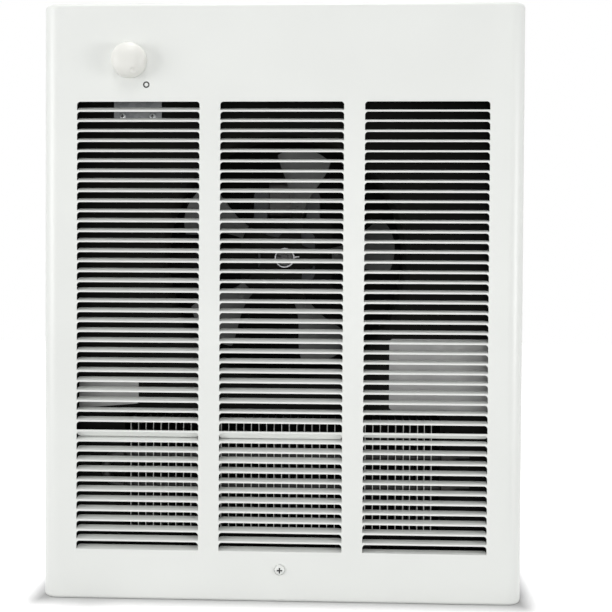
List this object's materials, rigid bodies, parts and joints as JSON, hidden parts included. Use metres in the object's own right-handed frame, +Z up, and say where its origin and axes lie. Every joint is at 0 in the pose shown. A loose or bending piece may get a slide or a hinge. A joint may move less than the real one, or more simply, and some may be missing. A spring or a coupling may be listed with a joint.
{
  "type": "bathroom wall fan heater",
  "caption": "Recessed electric wall heater: louvred white steel cover with a thermostat knob, over a deck with a bladed fan and a finned element in a galvanised back box.",
  "frame": {"origin": "middle of the back box's rear face", "axes": "+Z up, +X to the right seen from the room, the room and the louvred front are at -Y, the wall cavity is at +Y"},
  "size_m": [0.41, 0.1416, 0.508],
  "materials": {
    "cover_paint": "smooth semi-gloss powder coat",
    "black_paint": "matt black enamel",
    "galvanised": "bright spangled zinc coating",
    "zinc": "bright zinc plate",
    "aluminium": "dull mill finish",
    "element_steel": "furnace-brazed, brown-grey oxide",
    "lamination": "varnished laminations",
    "copper": "enamelled copper",
    "knob_plastic": "warm white, moulded, semi-gloss",
    "dark_plastic": "moulded phenolic",
    "phenolic": "moulded brown phenolic",
    "ceramic": "unglazed steatite",
    "red_plastic": "moulded"
  },
  "bodies": {
    "heater": {"front_cover": "cover_paint", "cover_screw": "cover_paint", "back_box": "galvanised", "fan_deck": "black_paint", "motor_mount": "black_paint", "motor_stator": "lamination", "motor_coil": "dark_plastic", "motor_bracket_front": "black_paint", "motor_bracket_rear": "black_paint", "heating_element": "element_steel", "element_bracket_left": "black_paint", "element_bracket_right": "black_paint", "element_bush_upper": "ceramic", "element_bush_lower": "ceramic", "thermostat_bracket": "galvanised", "thermostat_body": "zinc", "thermostat_nut": "zinc", "thermostat_screw_left": "zinc", "thermostat_screw_right": "zinc", "sensing_bulb": "copper", "capillary": "copper", "bulb_clip_left": "zinc", "bulb_clip_right": "zinc", "limit_switch": "dark_plastic", "fan_switch": "dark_plastic", "terminal_block": "phenolic", "ground_screw": "zinc"},
    "fan": {"fan_blade_1": "aluminium", "fan_blade_2": "aluminium", "fan_blade_3": "aluminium", "fan_blade_4": "aluminium", "fan_blade_5": "aluminium", "fan_spider": "black_paint", "fan_hub": "zinc", "fan_clip": "zinc", "motor_rotor": "zinc", "motor_shaft": "zinc"},
    "knob": {"thermostat_knob": "knob_plastic", "thermostat_shaft": "zinc"},
    "reset": {"reset_button": "red_plastic"}
  },
  "joints": [
    {"name": "fan_spin", "type": "hinge", "parent": "heater", "child": "fan", "pos_m": [0, -0.077, 0.04], "axis": [0, 1, 0], "continuous": true},
    {"name": "thermostat_turn", "type": "hinge", "parent": "heater", "child": "knob", "pos_m": [-0.1297, -0.13, 0.2052], "axis": [0, 1, 0], "range_deg": [-19, 281]},
    {"name": "reset_press", "type": "slide", "parent": "heater", "child": "reset", "axis": [0, 1, 0], "range_m": [0, 0.0015], "stiffness_N_per_m": 400, "springref_m": -0.002}
  ]
}
